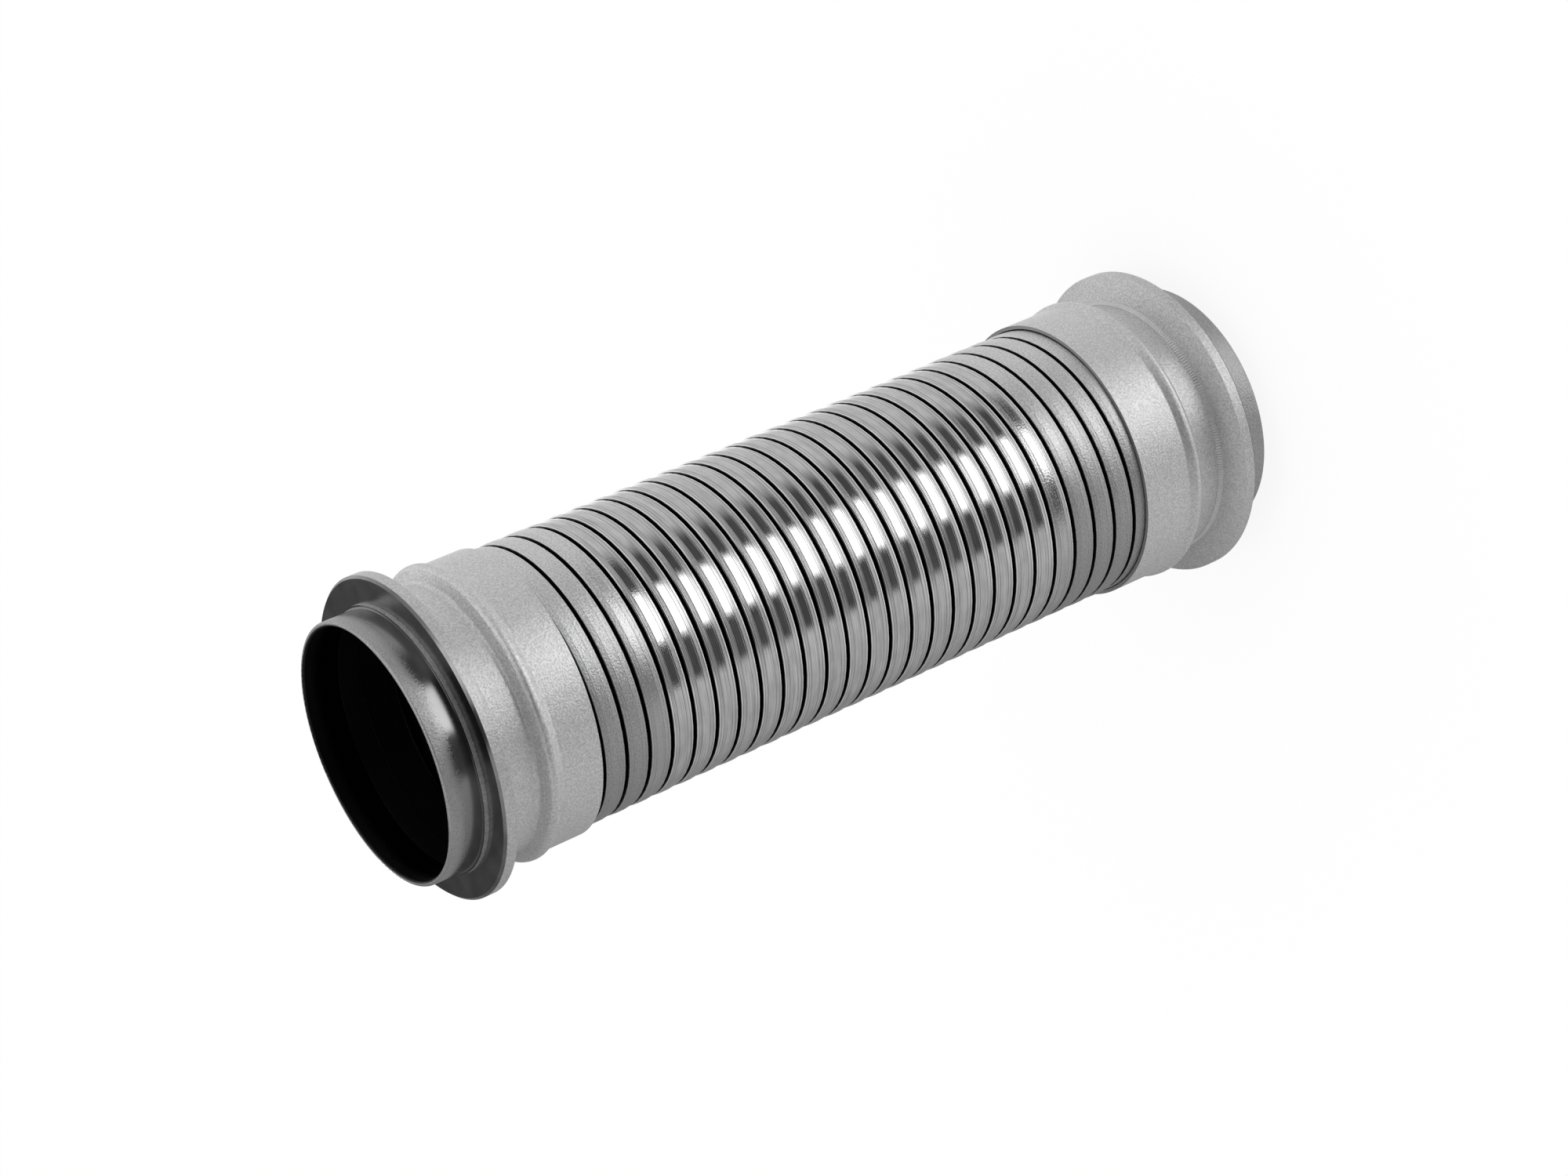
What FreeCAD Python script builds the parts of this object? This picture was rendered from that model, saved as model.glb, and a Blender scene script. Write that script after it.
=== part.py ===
import FreeCAD, Part
import math
import os

# Flexible exhaust pipe standing on its lower fitting, in millimetres, with +Z up through both fittings.
# The origin is the centre of the circle that the lower spigot stands on.

Vector = FreeCAD.Vector

# Wound strip hose
hoseCornerRadius = 54.6      # axis to the corners between the flats
flatsPerTurn = 30            # on the outer leg, and half as many on the legs and hooks inside it
cornerAngle = -92.7          # where one row of corners runs up the hose, in degrees
turnPitch = 9.88
turnGap = 1.1
stripThickness = 0.4
wallDepth = 4.4              # outside of a band to the inside of the wall
hookRoot = 0.8               # hook's thickness where it leaves its leg, tapering to its tip
hookClearance = 0.25         # between the tip of a hook and the leg it slides along
freeLength = 254.1           # hose seen between the two sleeves
hoseInsertion = 6.0          # hose hidden in each sleeve
firstGapHeight = 6.25        # lower sleeve's edge to the middle of the first gap, at the corner row

# Formed end tubes, measured along the axis from the open lip
spigotRadius = 50.9
tubeWall = 2.0
lipRound = 0.9
ringSeatRise = 0.55          # seat of the flange ring above the spigot
ringSeatLead = 0.15          # step up to the seat, in front of the ring
neckRise = 0.7               # neck above the spigot
neckEnd = 36.0
neckRound = 2.0
beadCrest = 40.0
beadFoot = 44.0
beadHeight = 1.5             # crest of the bead above the sleeve
beadCrestWidth = 2.4
beadRound = 2.4
beadFootRound = 1.5
sleeveWall = 1.4
sleeveClearance = 0.3
lowerSleeveEnd = 65.4
upperSleeveEnd = 60.5

# Flange rings for a band clamp
flangeFront = 15.0
flangeRimWidth = 5.2
flangeRimHeight = 11.6       # rim above the spigot
flangeChamfer = 1.0
flangeConeAngle = 18.0       # slope of the back face, in degrees
flangeFootRise = 0.9         # foot of the cone above the neck
collarHeight = 1.2
collarLength = 1.7
ringClearance = 0.1          # ring to the tube inside it

# Weld rings
flangeWeldLength = 1.7
hoseWeldLength = 1.8
hoseWeldDepth = 1.6
weldClearance = 0.05         # a weld ring to the tube wall beside it
strokeClearance = 0.3        # upper weld ring to the hose, which slides with the joint

# Sizes that follow from the ones above
ringSeatRadius = spigotRadius + ringSeatRise
neckRadius = spigotRadius + neckRise
sleeveBoreRadius = hoseCornerRadius + sleeveClearance
sleeveRadius = sleeveBoreRadius + sleeveWall
crestRadius = sleeveRadius + beadHeight
spigotBoreRadius = spigotRadius - tubeWall
collarFront = flangeFront - collarLength
flangeRimRadius = spigotRadius + flangeRimHeight
flangeRimBack = flangeFront + flangeRimWidth
flangeFootRadius = neckRadius + flangeFootRise
flangeBack = flangeRimBack + (flangeRimRadius - flangeFootRadius) * math.tan(math.radians(flangeConeAngle))
neckStart = flangeBack + neckRadius - ringSeatRadius
hoseBottom = lowerSleeveEnd - hoseInsertion
hoseTop = lowerSleeveEnd + freeLength + hoseInsertion
overallLength = lowerSleeveEnd + freeLength + upperSleeveEnd


# Closed section with rounded corners, given as (distance from the axis, height, corner radius)
def roundedSection(corners):
    places = [Vector(corner[0], 0, corner[1]) for corner in corners]
    runs = []
    for index, corner in enumerate(corners):
        here = places[index]
        before = places[index - 1]
        after = places[(index + 1) % len(places)]
        radius = corner[2]
        if radius == 0:
            runs.append((here, None, here))
            continue
        toBefore = (before - here).normalize()
        toAfter = (after - here).normalize()
        halfAngle = toBefore.getAngle(toAfter) / 2
        cut = radius / math.tan(halfAngle)
        bisector = (toBefore + toAfter).normalize()
        centre = here + bisector * (radius / math.sin(halfAngle))
        runs.append((here + toBefore * cut, centre - bisector * radius, here + toAfter * cut))
    edges = []
    for index, (start, middle, end) in enumerate(runs):
        if middle is not None:
            edges.append(Part.Arc(start, middle, end).toShape())
        nextStart = runs[(index + 1) % len(runs)][0]
        if end.distanceToPoint(nextStart) > 1e-6:
            edges.append(Part.LineSegment(end, nextStart).toShape())
    return Part.Face(Part.Wire(edges))


def turned(corners):
    return roundedSection(corners).revolve(Vector(0, 0, 0), Vector(0, 0, 1), 360)


# Spigot, neck, bead and sleeve drawn from one tube
def endTube(sleeveEnd):
    crestStart = beadCrest - beadCrestWidth / 2
    crestEnd = beadCrest + beadCrestWidth / 2
    flankRise = crestRadius - neckRadius
    flankRun = crestStart - neckEnd
    wallShift = tubeWall * math.hypot(flankRise, flankRun) / flankRise
    neckBoreRadius = neckRadius - tubeWall
    crestBoreRadius = crestRadius - sleeveWall

    def innerFlank(radius):
        return neckEnd + wallShift + (radius - neckRadius) * flankRun / flankRise

    outside = [
        (spigotRadius, 0, lipRound),
        (spigotRadius, collarFront - ringSeatLead, 0),
        (ringSeatRadius, collarFront, 0),
        (ringSeatRadius, flangeBack, 0),
        (neckRadius, neckStart, 0),
        (neckRadius, neckEnd, neckRound),
        (crestRadius, crestStart, beadRound),
        (crestRadius, crestEnd, beadRound),
        (sleeveRadius, beadFoot, beadFootRound),
        (sleeveRadius, sleeveEnd, 0),
    ]
    inside = [
        (sleeveBoreRadius, sleeveEnd, 0),
        (sleeveBoreRadius, beadFoot, beadFootRound),
        (crestBoreRadius, crestEnd, 0),
        (crestBoreRadius, innerFlank(crestBoreRadius), 0),
        (neckBoreRadius, innerFlank(neckBoreRadius), neckRound),
        (neckBoreRadius, flangeBack + neckRise, 0),
        (spigotBoreRadius, flangeBack, 0),
        (spigotBoreRadius, 0, lipRound),
    ]
    return turned(outside + inside)


# Turned ring with a collar in front and a sloped back for the clamp
def flangeRing():
    bore = ringSeatRadius + ringClearance
    collarRadius = spigotRadius + collarHeight
    return turned([
        (bore, collarFront, 0),
        (collarRadius, collarFront, 0),
        (collarRadius, flangeFront, 0),
        (flangeRimRadius - flangeChamfer, flangeFront, 0),
        (flangeRimRadius, flangeFront + flangeChamfer, 0),
        (flangeRimRadius, flangeRimBack, 0),
        (flangeFootRadius, flangeBack, 0),
        (bore, flangeBack, 0),
    ])


# Fillet weld that holds the ring's foot to the neck
def flangeWeld():
    inner = neckRadius + weldClearance
    return turned([
        (inner, neckStart, 0),
        (inner, neckStart + flangeWeldLength, 0),
        (flangeFootRadius, flangeBack, 0),
        (flangeFootRadius - flangeFootRise / 2, flangeBack, 0),
    ])


# Fillet weld that holds the cut end of the hose inside its sleeve
def hoseWeld(hoseEnd):
    outer = sleeveBoreRadius - weldClearance
    return turned([
        (outer, hoseEnd - hoseWeldLength, 0),
        (outer, hoseEnd, 0),
        (outer - hoseWeldDepth, hoseEnd, 0),
    ])


# Section of the strip as (distance from the axis, height above the gap's middle, flats that one run of this edge spans).
# The outer leg ends in a hook that turns in, the inner leg in one that turns out.
def stripSection():
    legLength = turnPitch - turnGap
    outerTop = turnGap / 2 + legLength
    webTop = turnGap / 2 + stripThickness
    innerBottom = webTop - legLength
    innerRadius = hoseCornerRadius - wallDepth
    outerUnder = hoseCornerRadius - stripThickness
    innerOver = innerRadius + stripThickness
    return [
        (hoseCornerRadius, turnGap / 2, 1),
        (hoseCornerRadius, outerTop, 1),
        (innerOver + hookClearance, outerTop, 2),
        (outerUnder, outerTop - hookRoot, 1),
        (outerUnder, webTop, 1),
        (innerRadius, webTop, 2),
        (innerRadius, innerBottom, 2),
        (outerUnder - hookClearance, innerBottom, 2),
        (innerOver, innerBottom + hookRoot, 2),
        (innerOver, turnGap / 2, 2),
    ]


def face(points):
    return Part.Face(Part.makePolygon(points + [points[0]]))


# Triangles between two edges, which may have different numbers of corners
def bridged(lower, upper):
    faces = []
    low = high = 0
    while low + high < len(lower) + len(upper) - 2:
        lowShare = low / (len(lower) - 1)
        highShare = high / (len(upper) - 1)
        if lowShare < highShare or (lowShare == highShare and len(lower) >= len(upper)):
            faces.append(face([lower[low], lower[low + 1], upper[high]]))
            low += 1
        else:
            faces.append(face([lower[low], upper[high + 1], upper[high]]))
            high += 1
    return faces


# Strip wound in short flats, then cut square at both ends
def woundHose():
    section = stripSection()
    rails = range(len(section))
    lowest = min(height for radius, height, span in section)
    highest = max(height for radius, height, span in section)
    rise = turnPitch / flatsPerTurn
    gapHeight = lowerSleeveEnd + firstGapHeight
    firstCorner = 2 * math.floor((hoseBottom - gapHeight - highest) / rise / 2) - 2
    lastCorner = 2 * math.ceil((hoseTop - gapHeight - lowest) / rise / 2) + 2

    def corner(index, rail):
        radius, height, span = section[rail]
        angle = math.radians(cornerAngle + 360 * index / flatsPerTurn)
        return Vector(radius * math.cos(angle), radius * math.sin(angle), gapHeight + rise * index + height)

    faces = [face([corner(index, rail) for rail in rails]) for index in (firstCorner, lastCorner)]
    for index in range(firstCorner, lastCorner, 2):
        for rail in rails:
            following = (rail + 1) % len(section)
            lower = [corner(index + step, rail) for step in range(0, 3, section[rail][2])]
            upper = [corner(index + step, following) for step in range(0, 3, section[following][2])]
            if section[rail][0] == section[following][0]:
                for step in range(len(lower) - 1):
                    faces.append(face([lower[step], lower[step + 1], upper[step + 1], upper[step]]))
            else:
                faces += bridged(lower, upper)
    shell = Part.makeShell(faces)
    shell.sewShape()
    strip = Part.Solid(shell)
    if strip.Volume < 0:
        strip.reverse()
    reach = hoseCornerRadius + 1
    between = Part.makeBox(2 * reach, 2 * reach, hoseTop - hoseBottom, Vector(-reach, -reach, hoseBottom))
    return strip.common(between).Solids[0]


# The upper fitting is the same as the lower one, turned over
def turnedOver(shape):
    shape.rotate(Vector(0, 0, 0), Vector(1, 0, 0), 180)
    shape.translate(Vector(0, 0, overallLength))
    return shape


upperHoseEnd = overallLength - hoseTop - strokeClearance

pieces = {
    "flex_hose": woundHose(),
    "lower_end_tube": endTube(lowerSleeveEnd),
    "lower_flange_ring": flangeRing(),
    "lower_flange_weld": flangeWeld(),
    "lower_hose_weld": hoseWeld(hoseBottom),
    "upper_end_tube": turnedOver(endTube(upperSleeveEnd)),
    "upper_flange_ring": turnedOver(flangeRing()),
    "upper_flange_weld": turnedOver(flangeWeld()),
    "upper_hose_weld": turnedOver(hoseWeld(upperHoseEnd)),
}

os.makedirs("parts", exist_ok=True)
for name, shape in pieces.items():
    shape.exportStep("parts/" + name + ".step")
    box = shape.BoundBox
    print(name, "volume", round(shape.Volume), "height", round(box.ZMin, 2), "to", round(box.ZMax, 2))
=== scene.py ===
import bpy
import bmesh
import math
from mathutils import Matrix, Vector


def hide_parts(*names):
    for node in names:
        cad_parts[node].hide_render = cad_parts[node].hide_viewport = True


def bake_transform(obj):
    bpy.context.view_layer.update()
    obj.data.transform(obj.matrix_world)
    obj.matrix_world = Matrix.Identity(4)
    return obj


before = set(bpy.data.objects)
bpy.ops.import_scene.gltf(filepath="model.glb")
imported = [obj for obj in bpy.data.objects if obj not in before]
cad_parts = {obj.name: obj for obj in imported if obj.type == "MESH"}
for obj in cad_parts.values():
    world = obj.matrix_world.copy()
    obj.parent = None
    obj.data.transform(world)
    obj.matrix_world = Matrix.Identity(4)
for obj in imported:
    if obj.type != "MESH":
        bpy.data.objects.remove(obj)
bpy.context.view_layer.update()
print("frame loaded with", len(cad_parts), "nodes")

mm = 0.001
overallLength = 380.0        # both fittings and the hose, in mm
speckleEdges = (0.3, 0.7)    # noise that is wholly dark below the first and wholly pale above the second
noiseMiddle = 0.5


# A value in a material, so that sums read as Python and add their own Math nodes
class Value:
    def __init__(self, maker, socket):
        self.maker = maker
        self.socket = socket

    def __add__(self, other):
        return self.maker.maths("ADD", self, other)

    def __radd__(self, other):
        return self.maker.maths("ADD", other, self)

    def __sub__(self, other):
        return self.maker.maths("SUBTRACT", self, other)

    def __rsub__(self, other):
        return self.maker.maths("SUBTRACT", other, self)

    def __mul__(self, other):
        return self.maker.maths("MULTIPLY", self, other)

    def __rmul__(self, other):
        return self.maker.maths("MULTIPLY", other, self)

    def __truediv__(self, other):
        return self.maker.maths("DIVIDE", self, other)

    def __rtruediv__(self, other):
        return self.maker.maths("DIVIDE", other, self)

    def __abs__(self):
        return self.maker.maths("ABSOLUTE", self)

    # 0 below low, 1 above high, smooth between them
    def step(self, low, high):
        settings = {"interpolation_type": "SMOOTHSTEP"}
        sockets = {"Value": self, "From Min": low, "From Max": high}
        return self.maker.node("ShaderNodeMapRange", settings, sockets)

    # 1 from low to high, fading over soft on both sides
    def between(self, low, high, soft):
        return self.step(low - soft, low + soft) * (1 - self.step(high - soft, high + soft))


def grey(level):
    return (level, level, level, 1)


# A plain number given as a colour is a grey
def asColour(given):
    return grey(given) if isinstance(given, (int, float)) else given


# The nodes of one material or world
class Maker:
    def __init__(self, owner):
        owner.use_nodes = True
        self.tree = owner.node_tree
        self.tree.nodes.clear()

    def node(self, kind, settings=None, sockets=None, output=0):
        made = self.tree.nodes.new(kind)
        for name, setting in (settings or {}).items():
            if name == "stops":
                self.setStops(made.color_ramp, setting)
            else:
                setattr(made, name, setting)
        for name, given in (sockets or {}).items():
            if isinstance(given, Value):
                self.tree.links.new(given.socket, made.inputs[name])
            else:
                made.inputs[name].default_value = given
        return Value(self, made.outputs[output]) if made.outputs else None

    # A new ramp has a stop at each end already
    def setStops(self, ramp, stops):
        for stop in stops[1:-1]:
            ramp.elements.new(stop[0])
        for element, (place, level) in zip(ramp.elements, stops):
            element.position = place
            element.color = grey(level)

    def maths(self, operation, *given):
        return self.node("ShaderNodeMath", {"operation": operation}, dict(enumerate(given)))

    def place(self, kind="Object"):
        return self.node("ShaderNodeTexCoord", None, None, kind)

    def axes(self, vector):
        split = self.node("ShaderNodeSeparateXYZ", None, {0: vector}).socket.node
        return [Value(self, output) for output in split.outputs]

    def vector(self, x, y, z):
        return self.node("ShaderNodeCombineXYZ", None, {0: x, 1: y, 2: z})

    def noise(self, vector, scale=1, detail=3):
        return self.node("ShaderNodeTexNoise", None, {"Vector": vector, "Scale": scale, "Detail": detail})

    # Noise through the metal, with its size in mm
    def grains(self, size):
        return self.noise(self.place(), 1 / (size * mm))

    def mixed(self, share, first, second, blend="MIX"):
        settings = {"data_type": "RGBA", "blend_type": blend}
        sockets = {0: share, 6: asColour(first), 7: asColour(second)}
        return self.node("ShaderNodeMix", settings, sockets, 2)

    def bump(self, height, distance, under=None):
        sockets = {"Height": height, "Distance": distance}
        if under is not None:
            sockets["Normal"] = under
        return self.node("ShaderNodeBump", None, sockets)

    def metal(self, colour, roughness, normal):
        sockets = {"Metallic": 1.0, "Base Color": colour, "Roughness": roughness, "Normal": normal}
        shader = self.node("ShaderNodeBsdfPrincipled", None, sockets)
        self.node("ShaderNodeOutputMaterial", None, {"Surface": shader})


# Height above the nearer open end, in mm
def endHeight(maker):
    z = maker.axes(maker.place())[2]
    return maker.maths("MINIMUM", z, overallLength * mm - z) / mm


# Distance from the pipe's axis, in metres
def axisDistance(maker):
    x, y = maker.axes(maker.place())[:2]
    return maker.node("ShaderNodeVectorMath", {"operation": "LENGTH"}, {0: maker.vector(x, y, 0)}, 1)


# 1 where a face looks straight in at the axis, -1 where it looks straight out
def facingIn(maker):
    x, y = maker.axes(maker.place())[:2]
    normalX, normalY = maker.axes(maker.place("Normal"))[:2]
    return (normalX * x + normalY * y) / axisDistance(maker) * -1


# 1 where a face lies level, 0 where it is upright
def lyingLevel(maker):
    return abs(maker.axes(maker.place("Normal"))[2])


# Fine speckle of a blasted surface, the broad cloud that lies over it, and its colour
def blasted(maker, finish):
    fine = maker.grains(finish["grain"])
    cloud = maker.grains(finish["cloud"])
    dark = finish["colour"] * (1 - finish["speckle"])
    pale = finish["colour"] * (1 + finish["speckle"])
    return fine, cloud, maker.mixed(fine.step(*speckleEdges), dark, pale)


# Tubes: drawn, then blasted. The upper spigot is rubbed smooth beside its flange.
tubeFinish = {
    "colour": 0.7,
    "speckle": 0.16,             # share by which a grain is paler or darker
    "grain": 0.75,               # mm across
    "grainDepth": 0.19,          # mm
    "cloud": 11.0,               # mm across
    "roughness": 0.5,
    "cloudRoughness": 0.12,      # how much of the cloud goes into it
    "spigotEnd": (14.5, 15.0),   # mm from the open end
    "spigotColour": 0.2,
    "spigotShare": 0.55,         # of that colour over the blasted one
    "upperPart": (0.4, 0.6),     # share of the pipe's length, in the hose between the tubes
    "rubbed": (3.2, 7.8),        # mm from the open end: rough below the first, smooth above the second
    "rubbedFray": 5.0,           # mm by which that wanders
    "rubbedColour": 0.24,
    "rubbedRoughness": 0.18,
    "cutHeight": (49.0, 50.0),   # level faces above this are the sleeve's cut end
    "cutLevel": (0.8, 0.95),
    "cutColour": 0.4,
    "insideFacing": (0.1, 0.5),  # how far a face looks in at the axis
    # painted shade: faces that look in at the axis are near black
    "insideShade": 0.02,
}


def makeTubeSteel():
    steel = bpy.data.materials.new("blastedTube")
    maker = Maker(steel)
    height = endHeight(maker)
    fine, cloud, outer = blasted(maker, tubeFinish)
    inside = facingIn(maker).step(*tubeFinish["insideFacing"])
    cut = lyingLevel(maker).step(*tubeFinish["cutLevel"]) * height.step(*tubeFinish["cutHeight"])
    spigot = 1 - height.step(*tubeFinish["spigotEnd"])
    lengthShare = maker.axes(maker.place())[2] / (overallLength * mm)
    upperSpigot = spigot * lengthShare.step(*tubeFinish["upperPart"])
    frayed = height + (fine - noiseMiddle) * tubeFinish["rubbedFray"]
    rubbed = upperSpigot * frayed.step(*tubeFinish["rubbed"])
    colour = maker.mixed(spigot * tubeFinish["spigotShare"], outer, tubeFinish["spigotColour"])
    colour = maker.mixed(rubbed, colour, tubeFinish["rubbedColour"])
    colour = maker.mixed(cut, colour, tubeFinish["cutColour"])
    # painted shade over the inside of the tube
    colour = maker.mixed(inside, colour, tubeFinish["insideShade"])
    smoother = tubeFinish["rubbedRoughness"] - tubeFinish["roughness"]
    roughness = tubeFinish["roughness"] + (cloud - noiseMiddle) * tubeFinish["cloudRoughness"]
    roughness = roughness + rubbed * smoother
    maker.metal(colour, roughness, maker.bump(fine * (1 - rubbed), tubeFinish["grainDepth"] * mm))
    return steel


# Flange rings: turned on the front face, blasted on the rim and the sloped back
ringFinish = {
    "colour": 0.62,
    "speckle": 0.16,
    "grain": 0.75,
    "grainDepth": 0.17,
    "cloud": 11.0,
    "roughness": 0.5,
    "cloudRoughness": 0.1,
    "faceLevel": (0.15, 0.35),   # so that the chamfer in front counts as face
    "faceHeight": (15.8, 16.2),  # mm from the open end: the face below, the rim and the back above
    "faceColour": 0.19,
    "faceCloud": 0.2,            # share by which the cloud makes it paler or darker
    "faceRoughness": 0.18,
    "toolMark": 0.35,            # mm from one turning mark to the next
    "toolMarkDetail": 2,
    "toolMarkDepth": 0.026,
}


def makeRingSteel():
    steel = bpy.data.materials.new("turnedRing")
    maker = Maker(steel)
    across = axisDistance(maker) / mm
    height = endHeight(maker)
    fine, cloud, rough = blasted(maker, ringFinish)
    face = lyingLevel(maker).step(*ringFinish["faceLevel"]) * (1 - height.step(*ringFinish["faceHeight"]))
    turns = maker.vector(across / ringFinish["toolMark"], 0, height)
    marks = maker.noise(turns, detail=ringFinish["toolMarkDetail"])
    dark = ringFinish["faceColour"] * (1 - ringFinish["faceCloud"])
    pale = ringFinish["faceColour"] * (1 + ringFinish["faceCloud"])
    dull = maker.mixed(cloud.step(*speckleEdges), dark, pale)
    colour = maker.mixed(face, rough, dull)
    smoother = ringFinish["faceRoughness"] - ringFinish["roughness"]
    roughness = ringFinish["roughness"] + (cloud - noiseMiddle) * ringFinish["cloudRoughness"]
    roughness = roughness + face * smoother
    turned = maker.bump(marks * face, ringFinish["toolMarkDepth"] * mm)
    maker.metal(colour, roughness, maker.bump(fine * (1 - face), ringFinish["grainDepth"] * mm, turned))
    return steel


# Weld beads: dull, with the ripple that the torch leaves
weldFinish = {
    "colour": 0.78,
    "insideShade": 0.1,         # painted shade on the weld inside each sleeve
    "cloud": 3.0,                # mm across
    "cloudColours": (0.8, 1.1),  # what it makes of the colour
    "roughness": 0.58,
    "cloudRoughness": 0.2,
    "ripples": 290,              # once round
    "rippleWander": 5.0,         # how much of the cloud goes into their spacing
    "rippleDepth": 0.06,
}


def makeWeldSteel(name, shade):
    steel = bpy.data.materials.new(name)
    maker = Maker(steel)
    x, y = maker.axes(maker.place())[:2]
    cloud = maker.grains(weldFinish["cloud"])
    angle = maker.maths("ARCTAN2", y, x)
    ripple = maker.maths("SINE", angle * weldFinish["ripples"] + cloud * weldFinish["rippleWander"])
    dark, pale = weldFinish["cloudColours"]
    colour = maker.mixed(cloud, shade * dark, shade * pale)
    roughness = weldFinish["roughness"] + (cloud - noiseMiddle) * weldFinish["cloudRoughness"]
    maker.metal(colour, roughness, maker.bump(ripple, weldFinish["rippleDepth"] * mm))
    return steel


# Wound hose, in mm. Heights in the section are above the middle of the gap under a band.
hose = {
    "radius": 54.6,
    "stepsPerTurn": 64,
    "startAngle": -92.7,
    "pitch": 9.88,
    "gap": 1.1,
    "thickness": 0.4,
    "wallDepth": 4.4,
    "hookClearance": 0.25,
    "firstGap": 71.65,     # middle of the gap at the start angle, above the floor
    "bottom": 59.4,
    "top": 325.5,
    "polishLow": 3.08,     # polished stretch of each band
    "polishHigh": 6.74,
    "shoulderDrop": 0.33,  # band's edges below the polished stretch
    "foldRound": 0.8,
    "lowFoldSteps": 5,     # steps in the round of each kind of fold
    "highFoldSteps": 6,
    "innerFoldSteps": 4,
    "tuckSteps": 2,
    "tolerance": 0.01,
    "cutTolerance": 0.0001,
}


# Section as (distance from the axis, height, round, steps in the round)
def stripCorners():
    leg = hose["pitch"] - hose["gap"]
    low = hose["gap"] / 2
    high = low + leg
    outer = hose["radius"]
    edge = outer - hose["shoulderDrop"]
    under = edge - hose["thickness"]
    inner = outer - hose["wallDepth"]
    over = inner + hose["thickness"]
    hook = over + hose["hookClearance"]
    webTop = low + hose["thickness"]
    innerLow = webTop - leg
    tip = under - hose["hookClearance"]
    fold = hose["foldRound"]
    tuck = fold - hose["thickness"]
    return [
        (edge, low, fold, hose["lowFoldSteps"]),
        (outer, hose["polishLow"], 0, 0),
        (outer, hose["polishHigh"], 0, 0),
        (edge, high, fold, hose["highFoldSteps"]),
        (hook, high, 0, 0),
        (hook, high - hose["thickness"], 0, 0),
        (under, high - hose["thickness"], tuck, hose["tuckSteps"]),
        (under, webTop, tuck, hose["tuckSteps"]),
        (inner, webTop, fold, hose["innerFoldSteps"]),
        (inner, innerLow, fold, hose["innerFoldSteps"]),
        (tip, innerLow, 0, 0),
        (tip, innerLow + hose["thickness"], 0, 0),
        (over, innerLow + hose["thickness"], tuck, hose["tuckSteps"]),
        (over, low, tuck, hose["tuckSteps"]),
    ]


# Points of the section, each with the normals of the stretch before and after it
def stripSection():
    corners = [(Vector((radius, height)), cut, steps) for radius, height, cut, steps in stripCorners()]
    points = []
    for index, (here, cut, steps) in enumerate(corners):
        before = (here - corners[index - 1][0]).normalized()
        after = (corners[(index + 1) % len(corners)][0] - here).normalized()
        sideBefore = Vector((before.y, -before.x))
        sideAfter = Vector((after.y, -after.x))
        if cut == 0:
            points.append((here, sideBefore, sideAfter))
            continue
        turn = before.angle_signed(after)
        reach = cut * math.tan(abs(turn) / 2)
        start = here - before * reach
        # the round's centre lies on the side that the section turns towards
        inwards = 1 if turn < 0 else -1
        centre = start - sideBefore * cut * inwards
        for step in range(steps + 1):
            angle = turn * step / steps
            side = Vector((
                sideBefore.x * math.cos(angle) + sideBefore.y * math.sin(angle),
                sideBefore.y * math.cos(angle) - sideBefore.x * math.sin(angle),
            ))
            points.append((centre + side * cut * inwards, side, side))
    return points


# One copy of the section for each step of the winding, with its place in turns and the way out from the axis
def windRings(mesh, places):
    steps = hose["stepsPerTurn"]
    rise = hose["pitch"] / steps
    lowest = min(place.y for place in places)
    highest = max(place.y for place in places)
    first = math.floor((hose["bottom"] - hose["firstGap"] - highest) / rise) - 1
    last = math.ceil((hose["top"] - hose["firstGap"] - lowest) / rise) + 1
    rings = []
    for step in range(first, last + 1):
        angle = math.radians(hose["startAngle"] + 360 * step / steps)
        out = Vector((math.cos(angle), math.sin(angle), 0))
        height = Vector((0, 0, hose["firstGap"] + rise * step))
        points = [(out * place.x + height + Vector((0, 0, place.y))) * mm for place in places]
        rings.append(([mesh.verts.new(point) for point in points], step / steps, out))
    return rings


# Faces from ring to ring, with their place on the flat strip and the normals that they should have
def joinRings(mesh, rings, section, along, uv, wanted):
    for (here, fromTurn, fromOut), (there, toTurn, toOut) in zip(rings, rings[1:]):
        for low in range(len(section)):
            high = (low + 1) % len(section)
            face = mesh.faces.new((here[low], there[low], there[high], here[high]))
            leaves = section[low][2]
            arrives = section[high][1]
            corners = (
                (fromTurn, along[low], fromOut, leaves),
                (toTurn, along[low], toOut, leaves),
                (toTurn, along[low + 1], toOut, arrives),
                (fromTurn, along[low + 1], fromOut, arrives),
            )
            for loop, (turn, distance, out, side) in zip(face.loops, corners):
                loop[uv].uv = (turn, distance)
                loop[wanted] = out * side.x + Vector((0, 0, side.y))


# Both ends cut square, as in the welds that hold them
def cutEnds(mesh, wanted):
    for height, outwards in ((hose["bottom"], -1), (hose["top"], 1)):
        plane = (0, 0, height * mm)
        normal = (0, 0, outwards)
        tolerance = hose["cutTolerance"] * mm
        parts = mesh.verts[:] + mesh.edges[:] + mesh.faces[:]
        cut = bmesh.ops.bisect_plane(
            mesh, geom=parts, dist=tolerance, plane_co=plane, plane_no=normal, clear_outer=True,
        )
        rim = [part for part in cut["geom_cut"] if isinstance(part, bmesh.types.BMEdge)]
        filled = bmesh.ops.triangle_fill(mesh, use_beauty=True, edges=rim, normal=normal)
        faces = [part for part in filled["geom"] if isinstance(part, bmesh.types.BMFace)]
        for face in faces:
            for loop in face.loops:
                loop[wanted] = normal


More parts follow.
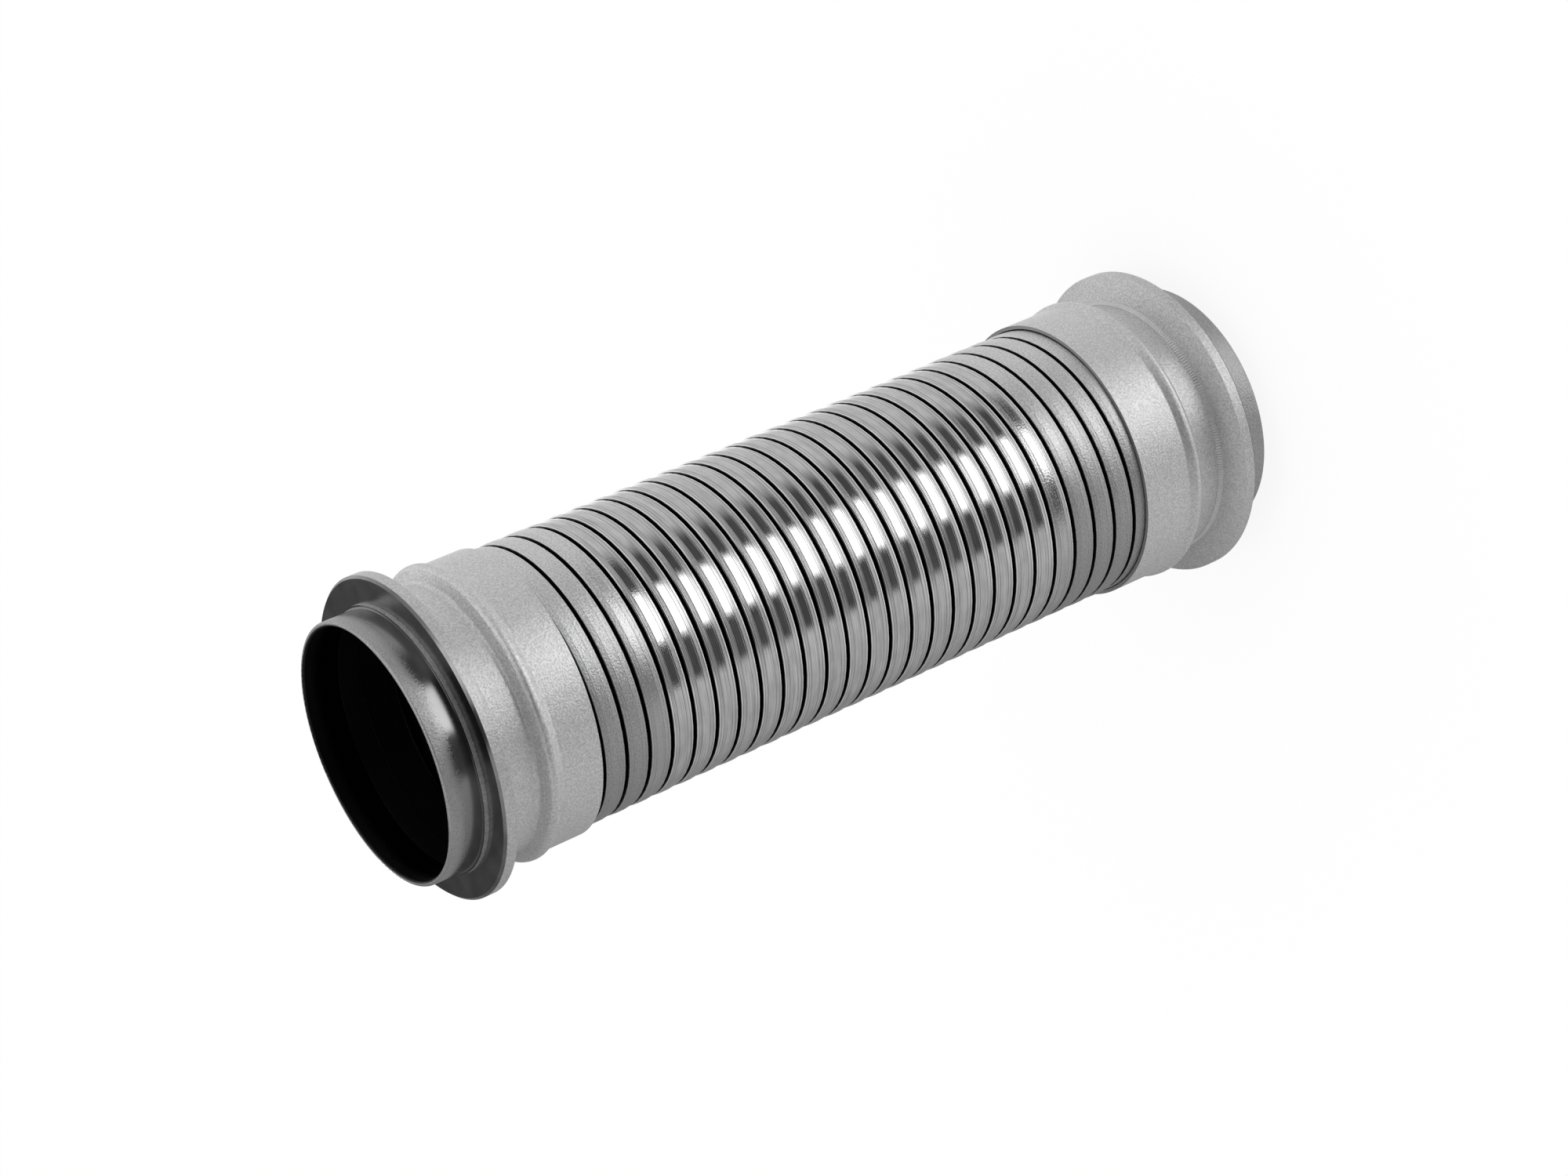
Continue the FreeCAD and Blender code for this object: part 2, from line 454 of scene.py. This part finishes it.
def windHose():
    section = stripSection()
    places = [place for place, before, after in section]
    along = [0.0]
    for here, there in zip(places, places[1:] + places[:1]):
        along.append(along[-1] + (there - here).length)

    mesh = bmesh.new()
    uv = mesh.loops.layers.uv.new("strip")
    wanted = mesh.loops.layers.float_vector.new("wanted")
    joinRings(mesh, windRings(mesh, places), section, along, uv, wanted)
    cutEnds(mesh, wanted)
    print("open edges of the hose:", sum(len(edge.link_faces) != 2 for edge in mesh.edges))

    shape = bpy.data.meshes.new("woundStrip")
    mesh.to_mesh(shape)
    mesh.free()
    shape.shade_smooth()
    normals = [Vector(item.vector).normalized() for item in shape.attributes["wanted"].data]
    shape.normals_split_custom_set(normals)
    shape.attributes.remove(shape.attributes["wanted"])
    strip = bpy.data.objects.new("woundStrip", shape)
    bpy.context.scene.collection.objects.link(strip)
    outermost = hose["radius"] - hose["tolerance"]
    polished = [distance for distance, place in zip(along, places) if place.x > outermost]
    return strip, polished


# Hose strip: rolled stainless, polished along the middle of each band and matt near the ends.
# Distances are in mm across the strip.
stripFinish = {
    "colour": 0.62,
    "streak": (30.0, 4.0, 0),         # mm long, how many to a mm across, and which layer of the noise
    "streakColours": (0.72, 1.16),    # what it makes of the colour
    "cloud": (8.0, 1 / 3, 5),
    "cloudEdges": (0.35, 0.65),
    "cloudColour": 0.87,
    "scratch": (9.0, 12.0, 9),
    "scratchDetail": 2,
    "scratchShare": 0.2,              # of a roll line's depth
    "polish": 0.08,                   # roughness of the polished stretch
    "polishSoftness": 0.15,           # mm over which its edge fades, and the same for those below
    "shoulder": 0.2,                  # roughness beside it
    "fold": 0.13,                     # roughness of the folds
    "foldReach": 1.75,                # polished stretch to where the fold beside it starts
    "foldSoftness": 0.1,
    "foldHighlight": 1.35,               # how much paler its colour is: a painted highlight along the folds
    "edgeReach": 2.32,                # polished stretch to where the painted gap shade starts on the fold beside it
    "edgeSoftness": 0.08,
    "joint": 0.012,                   # painted shade between the bands and on the strip's hidden inside, near black
    "roughnessSpread": 0.06,          # how much of the cloud and the streaks goes into it
    "rollLines": (-1.31, 0.3, 3.95, 5.18),   # from the polished stretch's lower edge
    "rollLineWidth": 0.24,
    "rollLineSoftness": 0.06,
    "rollLineDepth": 0.045,
    "rollLineLeast": 0.4,             # strength where the streaks add nothing to it
    "rollLineStreak": 0.8,
    "rollLineShare": 0.85,
    "rollLineColour": 0.3,            # what a line makes of the colour
    "matt": 0.42,                     # roughness near the hose's ends
    "mattTurns": (0.9, 4.7, 20.2, 23.2),     # polished between the middle two
    "mattFray": 0.5,                  # how much of the grain goes into its edge
    "mattEdges": (0.15, 0.85),
    "mattStart": (0, 0.1),
    "mattShare": 0.85,
    "mattShadeAndLight": (0.36, 0.7),       # painted shade on the -X side, and painted light on the +X side
    "mattSides": (-0.8, 0.8),         # in radii of the hose
    "mattSpeckle": 0.2,
    "grain": (0.8, 1.25, 0),
    "grainDepth": 0.2,
}


def stripNoise(maker, turn, across, name, detail=3):
    length, perMm, layer = stripFinish[name]
    girth = 2 * math.pi * hose["radius"]
    return maker.noise(maker.vector(turn * girth / length, across * perMm, layer), detail=detail)


def makeStripSteel(polished):
    steel = bpy.data.materials.new("rolledStrip")
    maker = Maker(steel)
    turn, across = maker.axes(maker.place("UV"))[:2]
    streak = stripNoise(maker, turn, across, "streak")
    cloud = stripNoise(maker, turn, across, "cloud")
    scratch = stripNoise(maker, turn, across, "scratch", stripFinish["scratchDetail"])
    fine = stripNoise(maker, turn, across, "grain")

    fadeLow, fullLow, fullHigh, fadeHigh = stripFinish["mattTurns"]
    fading = 1 - turn.step(fadeLow, fullLow) * (1 - turn.step(fullHigh, fadeHigh))
    frayed = fading + (fine - noiseMiddle) * stripFinish["mattFray"]
    matt = frayed.step(*stripFinish["mattEdges"]) * fading.step(*stripFinish["mattStart"])

    low, high = polished
    edgeReach = stripFinish["edgeReach"]
    foldReach = stripFinish["foldReach"]
    lineWidth = stripFinish["rollLineWidth"]
    lineSoftness = stripFinish["rollLineSoftness"]
    polish = across.between(low, high, stripFinish["polishSoftness"])
    clearOfGapShade = across.between(low - edgeReach, high + edgeReach, stripFinish["edgeSoftness"])
    fold = 1 - across.between(low - foldReach, high + foldReach, stripFinish["foldSoftness"])
    starts = [low + offset for offset in stripFinish["rollLines"]]
    lines = sum(across.between(start, start + lineWidth, lineSoftness) for start in starts)
    lines = lines * (stripFinish["rollLineLeast"] + streak * stripFinish["rollLineStreak"])

    clean = stripFinish["colour"]
    dark, light = stripFinish["streakColours"]
    pale = maker.mixed(streak.step(*speckleEdges), clean * dark, clean * light)
    # painted highlight: the folds beside the polished stretch get a paler colour
    pale = maker.mixed(fold, pale, clean * stripFinish["foldHighlight"])
    cloudy = maker.mixed(cloud.step(*stripFinish["cloudEdges"]), stripFinish["cloudColour"], 1.0)
    pale = maker.mixed(1.0, pale, cloudy, "MULTIPLY")
    pale = maker.mixed(lines * stripFinish["rollLineShare"], pale, clean * stripFinish["rollLineColour"])

    # painted light and shade on the matt bands: paler on the +X side, darker on the -X side, with the
    # grain's speckle over it
    side = (maker.axes(maker.place())[0] / (hose["radius"] * mm)).step(*stripFinish["mattSides"])
    mattLitAndShaded = maker.mixed(side, *stripFinish["mattShadeAndLight"])
    speckle = stripFinish["mattSpeckle"]
    grains = maker.mixed(fine.step(*speckleEdges), 1 - speckle, 1 + speckle)
    mattLitAndShaded = maker.mixed(1.0, mattLitAndShaded, grains, "MULTIPLY")
    pale = maker.mixed(matt * stripFinish["mattShare"], pale, mattLitAndShaded)
    # painted shade: near black past edgeReach, down the folds into the gaps and over the strip's hidden
    # inside
    colour = maker.mixed(clearOfGapShade, stripFinish["joint"], pale)

    spread = stripFinish["roughnessSpread"]
    smooth = stripFinish["shoulder"] + (stripFinish["polish"] - stripFinish["shoulder"]) * polish
    smooth = smooth + (stripFinish["fold"] - stripFinish["shoulder"]) * fold
    smooth = smooth + (cloud - noiseMiddle) * spread + (streak - noiseMiddle) * spread
    roughness = smooth + (stripFinish["matt"] - smooth) * matt
    scratches = scratch * stripFinish["scratchShare"] * (1 - fading)
    grooves = maker.bump(scratches - lines, stripFinish["rollLineDepth"] * mm)
    maker.metal(colour, roughness, maker.bump(fine * fading, stripFinish["grainDepth"] * mm, grooves))
    return steel


strip, polished = windHose()
print("hose wound with", len(strip.data.polygons), "faces")
strip.data.materials.append(makeStripSteel(polished))
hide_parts("flex_hose")
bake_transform(strip)

finishes = {
    "end_tube": makeTubeSteel(),
    "flange_ring": makeRingSteel(),
    "flange_weld": makeWeldSteel("flangeWeldBead", weldFinish["colour"]),
    # painted shade: the weld inside each sleeve is made dark
    "hose_weld": makeWeldSteel("hoseWeldBead", weldFinish["insideShade"]),
}
for name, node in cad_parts.items():
    for ending, steel in finishes.items():
        if name.endswith(ending):
            node.material_slots[0].material = steel
print("fittings finished")


# Studio: a pale floor and white all round. The metal meets a room instead, in rows of
# (degrees from the front, level), each taking over from the one below between two heights in degrees.
studio = {
    "white": 1.0,
    "floor": [(-180, 0.28), (-120, 0.5), (-60, 0.9), (60, 0.9), (90, 0.75), (150, 0.8), (180, 0.28)],
    "cardsFrom": (-43, -40),
    "cards": [               # a lit card in front between two dark ones, then the room
        (-180, 0.26), (-150, 0.32), (-120, 0.5), (-48, 0.68), (-44, 0.1), (-10, 0.1), (-4.8, 2.8),
        (30.6, 2.8), (35.2, 0.1), (62, 0.1), (80, 0.75), (150, 0.8), (160, 1.3), (176, 1.3), (180, 0.26),
    ],
    "tableFrom": (-19, -16),
    "table": [
        (-180, 0.28), (-120, 0.46), (-50, 0.62), (-40, 0.4), (40, 0.4), (50, 0.72), (150, 0.8), (180, 0.28),
    ],
    "roomFrom": (-4, 4),
    "room": [
        (-180, 0.14), (-120, 0.4), (-50, 0.6), (-40, 0.06), (34, 0.06), (44, 0.7),
        (122, 0.7), (142, 1.15), (160, 1.0), (174, 0.2), (180, 0.14),
    ],
    "overheadFrom": (38, 48),
    "overhead": 0.95,
    "overheadBehind": 0.68,
    "behind": (90, 140),     # degrees from the front
    "zenith": (75, 88),      # height in degrees, above which nothing is behind
    "frontMiddle": -3.0,     # the front of the room, where its dark part reaches higher
    "frontReach": (32, 48),  # degrees to each side
    "frontDarkness": 30.0,   # degrees higher
    "floorReach": 40.0,      # metres
    "floorDrop": 0.05,       # mm below the pipe
    "floorColour": 0.97,
    "floorGlow": 0.88,       # share of plain white in what the camera sees of it
    "lampPower": 2.5,
    "lampSize": 0.9,
    "lampPlace": (0.5, -0.6, 1.5),
    "lampAim": (0.0, 0.0, 0.2),
}


def makeRoom():
    world = bpy.data.worlds.new("studio")
    bpy.context.scene.world = world
    maker = Maker(world)
    x, y, z = maker.axes(maker.place("Generated"))
    turn = maker.maths("ARCTAN2", x, y * -1) * math.degrees(1)
    rise = maker.maths("ARCSINE", z) * math.degrees(1)
    around = (turn + 180) / 360
    rows = {}
    for name in ("floor", "cards", "table", "room"):
        stops = [((place + 180) / 360, level) for place, level in studio[name]]
        rows[name] = maker.node("ShaderNodeValToRGB", {"stops": stops}, {0: around})
    level = rows["floor"]
    for name in ("cards", "table", "room"):
        level = maker.mixed(rise.step(*studio[name + "From"]), level, rows[name])
    front = 1 - abs(turn - studio["frontMiddle"]).step(*studio["frontReach"])
    behind = abs(turn).step(*studio["behind"]) * (1 - rise.step(*studio["zenith"]))
    above = maker.mixed(behind, studio["overhead"], studio["overheadBehind"])
    high = (rise - front * studio["frontDarkness"]).step(*studio["overheadFrom"])
    level = maker.mixed(high, level, above)
    glossy = maker.node("ShaderNodeLightPath", None, None, "Is Glossy Ray")
    seen = maker.mixed(glossy, studio["white"], level)
    light = maker.node("ShaderNodeBackground", None, {"Color": seen, "Strength": 1.0})
    maker.node("ShaderNodeOutputWorld", None, {"Surface": light})


def makeFloor():
    reach = studio["floorReach"]
    corners = [(-reach, -reach, 0), (reach, -reach, 0), (reach, reach, 0), (-reach, reach, 0)]
    shape = bpy.data.meshes.new("floor")
    shape.from_pydata(corners, [], [(0, 1, 2, 3)])
    floor = bpy.data.objects.new("floor", shape)
    bpy.context.scene.collection.objects.link(floor)
    floor.location.z = -studio["floorDrop"] * mm
    floor.visible_glossy = False
    paint = bpy.data.materials.new("floorPaint")
    shape.materials.append(paint)
    maker = Maker(paint)
    camera = maker.node("ShaderNodeLightPath", None, None, "Is Camera Ray")
    matt = maker.node("ShaderNodeBsdfDiffuse", None, {"Color": grey(studio["floorColour"])})
    white = maker.node("ShaderNodeEmission", None, {"Color": grey(studio["white"]), "Strength": 1.0})
    surface = maker.node("ShaderNodeMixShader", None, {0: camera * studio["floorGlow"], 1: matt, 2: white})
    maker.node("ShaderNodeOutputMaterial", None, {"Surface": surface})


def makeLamp():
    lamp = bpy.data.lights.new("softbox", "AREA")
    lamp.shape = "DISK"
    lamp.size = studio["lampSize"]
    lamp.energy = studio["lampPower"]
    softbox = bpy.data.objects.new("softbox", lamp)
    bpy.context.scene.collection.objects.link(softbox)
    softbox.location = studio["lampPlace"]
    beam = Vector(studio["lampAim"]) - softbox.location
    softbox.rotation_euler = beam.to_track_quat("-Z", "Y").to_euler()


makeRoom()
makeFloor()
makeLamp()

# Camera at the photo's angle, in degrees, metres and mm of lens
viewpoint = {
    "aim": (-0.0035, 0.0, 0.2002),
    "distance": 1.4503,
    "azimuth": -0.16,
    "elevation": 28.66,
    "roll": 113.44,
    "lens": 87.904,
    "sensor": 36.0,
    "nearest": 0.05,
    "farthest": 100.0,
}


def placeCamera():
    lens = bpy.data.cameras.new("camera")
    lens.lens = viewpoint["lens"]
    lens.sensor_width = viewpoint["sensor"]
    lens.clip_start = viewpoint["nearest"]
    lens.clip_end = viewpoint["farthest"]
    camera = bpy.data.objects.new("camera", lens)
    bpy.context.scene.collection.objects.link(camera)
    azimuth = math.radians(viewpoint["azimuth"])
    elevation = math.radians(viewpoint["elevation"])
    back = Vector((
        math.sin(azimuth) * math.cos(elevation),
        -math.cos(azimuth) * math.cos(elevation),
        math.sin(elevation),
    ))
    camera.location = Vector(viewpoint["aim"]) + back * viewpoint["distance"]
    camera.rotation_euler = (-back).to_track_quat("-Z", "Y").to_euler()
    camera.rotation_euler.rotate_axis("Z", -math.radians(viewpoint["roll"]))
    bpy.context.scene.camera = camera


placeCamera()
bpy.context.scene.view_settings.view_transform = "Standard"
print("studio and camera ready")
